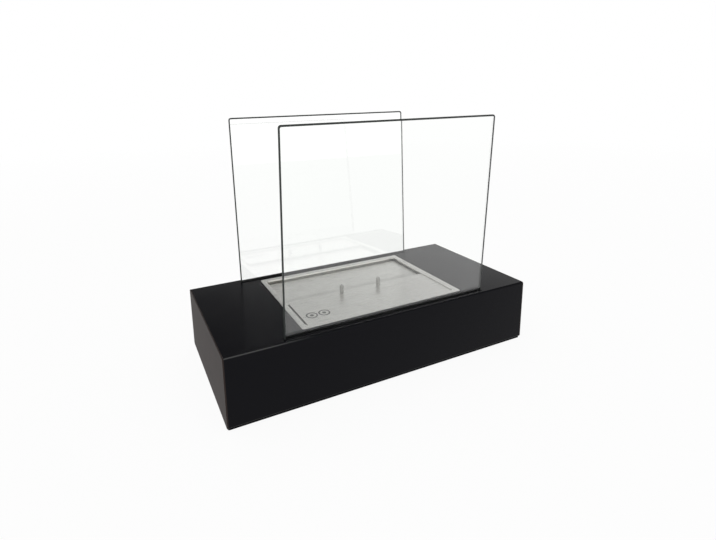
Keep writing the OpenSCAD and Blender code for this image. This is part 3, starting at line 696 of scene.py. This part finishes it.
mesh = bmesh.new()
profile = [(FOLD * (1 - math.sin(a)), plate_high.z - FOLD * (1 - math.cos(a)))
           for a in (math.pi / 2 * i / 6 for i in range(7))]
profile += [(0.0, plate_low.z), (SHEET, plate_low.z), (SHEET, plate_high.z - SHEET)]
skin_rings(mesh, [[(SIDE_PLAY + x, plate_middle.y + y, z) for x, y in outline(
    DAMPER_WIDTH - 2 * inset, DAMPER_DEPTH - 2 * inset, DAMPER_CORNER - inset, 8)] for inset, z in profile])
damper = solid(mesh, "damper_lid", satin_steel)
tabs = []
for side in (-1, 1):
    for end in (-1, 1):
        root, tip = DAMPER_WIDTH / 2 + side * SIDE_PLAY - SHEET / 2, plate_high.x
        tabs.append(slab("tab", satin_steel, (side * (root + tip) / 2,
                                              plate_middle.y + end * (DAMPER_DEPTH / 2 - TAB_INSET)),
                         tip - root, TAB_LENGTH, TAB_CORNER, plate_low.z, plate_low.z + SHEET))
combine(damper, tabs, "UNION")
print("damper:", [round(v * 1000, 1) for v in (DAMPER_WIDTH, DAMPER_DEPTH)], "tabs:", len(tabs))

# %% Etch the marks and drill for the pins
MARK_DIAMETER, MARK_DEPTH, CUT_MARGIN = 14.2 * MM, 0.1 * MM, 1 * MM
RING_LINE, DOT_RADIUS, PIN_HOLE = MARK_DIAMETER / 8, MARK_DIAMETER / 6, 1.4 * MM
MARK_PLACES = ((-85.5 * MM, -47.4 * MM), (-69.7 * MM, -47.4 * MM))
PIN_PLACES = ((-27 * MM, -8.6 * MM), (27 * MM, -8.6 * MM))
# A face counts as upright when its normal's Z is below this.
UPRIGHT = 0.3
etched_to, above = plate_high.z - MARK_DEPTH, plate_high.z + CUT_MARGIN
outer, inner = MARK_DIAMETER / 2, MARK_DIAMETER / 2 - RING_LINE

cutters = []
for place in MARK_PLACES:
    ring = [(outer, etched_to), (outer, above), (inner, above), (inner, etched_to)]
    cutters.append(turned("ring", etched_steel, place, ring, close=True))
    cutters.append(turned("dot", etched_steel, place, [(DOT_RADIUS, etched_to), (DOT_RADIUS, above)], 24))
for place in PIN_PLACES:
    cutters.append(turned("hole", satin_steel, place, [(PIN_HOLE, plate_low.z), (PIN_HOLE, above)], 24))
combine(damper, cutters, "DIFFERENCE")
# The skirt and tabs take the nearly black painted shade.
damper.data.materials.append(shade_black_steel)
for polygon in damper.data.polygons:
    beyond_side = abs(polygon.center.x - SIDE_PLAY) > DAMPER_WIDTH / 2
    below_fold = polygon.center.z < plate_high.z - FOLD / 2
    if beyond_side or (abs(polygon.normal.z) < UPRIGHT and below_fold):
        polygon.material_index = len(damper.data.materials) - 1
settle(damper, "damper", ("damper_plate",), smooth_angle=30)
print("damper faces:", len(damper.data.polygons), "finishes:", len(damper.data.materials))

# %% [markdown]
# ## Pins
# The damper is pushed with a tool between two turned pins. Each has a rounded top, a fine
# foot where it sits on the plate, and a peened tail that holds it from below. A lathe tool
# leaves fine rings, brighter and sharper than the brushed sheet, so a pin mirrors the dark
# and the bright side of the room as two upright stripes.

# %% Turn the pins
PIN_RADIUS, SHANK_RADIUS, TAIL_RADIUS, ROUND = 2.5 * MM, 1.3 * MM, 2.4 * MM, 1.25 * MM
TAIL_HEIGHT, TAIL_ROUND, FOOT_BEVEL = 0.5 * MM, 0.6 * MM, 0.25 * MM
turned_steel = satin("turned_stainless_steel", "#969592", "#a8a7a4", 0.12,
                     stretch=0.5, stretch_along=(0.0, 0.0, 1.0))
for name, node, place in (("left_pin", "left_damper_pin", PIN_PLACES[0]),
                          ("right_pin", "right_damper_pin", PIN_PLACES[1])):
    low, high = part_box(node)
    tail_top = low.z + TAIL_HEIGHT
    profile = [(TAIL_RADIUS - TAIL_ROUND, low.z), (TAIL_RADIUS, low.z + TAIL_HEIGHT / 2),
               (TAIL_RADIUS, tail_top), (SHANK_RADIUS, tail_top), (SHANK_RADIUS, plate_high.z),
               (PIN_RADIUS - FOOT_BEVEL, plate_high.z), (PIN_RADIUS, plate_high.z + FOOT_BEVEL)]
    profile += [(PIN_RADIUS - ROUND * (1 - math.cos(a)), high.z - ROUND * (1 - math.sin(a)))
                for a in (math.pi / 2 * i / 6 for i in range(7))]
    pin = turned(name, turned_steel, place, profile, 36)
    settle(pin, "damper", (node,), smooth_angle=40)
print("pins:", [round(v * 1000, 1) for v in (high.z - plate_high.z, 2 * PIN_RADIUS)])

# %% [markdown]
# ## Ceramic fibre
# The fuel soaks into a block of ceramic fibre felt. It is cut with a knife, so its faces
# are flat, its edges slightly crushed, and its surface a mat of loose fibres.

# %% Build the felt
FELT_ROUND, FELT_CUTS, MAT_DEPTH = 2.5 * MM, 56, 0.35 * MM
felt_low, felt_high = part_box("ceramic_fibre_pad")
felt_half = (felt_high - felt_low) / 2
felt_centre = (felt_high + felt_low) / 2
flat_half = [half - FELT_ROUND for half in felt_half]
random.seed(7)
mesh = bmesh.new()
bmesh.ops.create_cube(mesh, size=2.0)
bmesh.ops.subdivide_edges(mesh, edges=mesh.edges, cuts=FELT_CUTS, use_grid_fill=True)
for vert in mesh.verts:
    point = Vector(vert.co[i] * felt_half[i] for i in range(3))
    core = Vector(max(-flat_half[i], min(flat_half[i], point[i])) for i in range(3))
    reach = point - core
    if reach.length > 0:
        point = core + reach.normalized() * (FELT_ROUND - MAT_DEPTH * random.random())
    vert.co = felt_centre + point
felt = finish_piece(mesh, "fibre_felt", "burner", (fibre_felt,),
                    ("ceramic_fibre_pad",), smooth_angle=180)
print("felt faces:", len(felt.data.polygons))

# %% [markdown]
# ## Screws
# Twelve pan-head screws close the bottom plate. Their heads are pressed, with a domed top
# and a cross recess.

# %% Build one screw and set twelve
HEAD_RADIUS, HEAD_HEIGHT, HEAD_RIM, SHANK, TIP = 2.8 * MM, 1.8 * MM, 0.5 * MM, 1.5 * MM, 0.5 * MM
CROSS_LENGTH, CROSS_WIDTH, CROSS_DEPTH, CROSS_CORNER = 3.4 * MM, 0.8 * MM, 1.0 * MM, 0.1 * MM
# Where the screws stand, in millimetres from the middle: two rows of four, and two at each end.
ROW_REACH, ROW_OFFSET, END_OFFSET, END_REACH = 154, 86.5, 192.5, 40
screws_low, screws_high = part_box("bottom_plate_screws")
SCREW_PLACES = [(x * MM, y * MM) for x in (-ROW_REACH, -ROW_REACH / 3, ROW_REACH / 3, ROW_REACH)
                for y in (-ROW_OFFSET, ROW_OFFSET)]
SCREW_PLACES += [(x * MM, y * MM) for x in (-END_OFFSET, END_OFFSET) for y in (-END_REACH, END_REACH)]
head_top = screws_low.z
plate_face = head_top + HEAD_HEIGHT
profile = [(SHANK - TIP, screws_high.z), (SHANK, screws_high.z - TIP), (SHANK, plate_face),
           (HEAD_RADIUS, plate_face)]
profile += [(HEAD_RADIUS * math.cos(a), plate_face - HEAD_RIM - (HEAD_HEIGHT - HEAD_RIM) * math.sin(a))
            for a in (math.pi / 2 * i / 7 for i in range(7))]
heads = turned("bottom_screws", zinc_plate, (0, 0), profile, 28)
cross = [slab("cross", zinc_plate, (0, 0), *sides, CROSS_CORNER, head_top - CUT_MARGIN,
              head_top + CROSS_DEPTH)
         for sides in ((CROSS_LENGTH, CROSS_WIDTH), (CROSS_WIDTH, CROSS_LENGTH))]
combine(heads, cross, "DIFFERENCE")
pattern = heads.data.copy()
gathered = bmesh.new()
for place in SCREW_PLACES:
    single = bmesh.new()
    single.from_mesh(pattern)
    bmesh.ops.rotate(single, verts=single.verts, matrix=Matrix.Rotation(random.random() * math.pi, 3, "Z"))
    bmesh.ops.translate(single, verts=single.verts, vec=(*place, 0.0))
    copy = bpy.data.meshes.new("copy")
    single.to_mesh(copy)
    single.free()
    gathered.from_mesh(copy)
gathered.to_mesh(heads.data)
gathered.free()
settle(heads, "casing", ("bottom_plate_screws",), smooth_angle=30)
print("screws:", len(SCREW_PLACES), "height", [round(v.z * 1000, 2) for v in (screws_low, screws_high)])
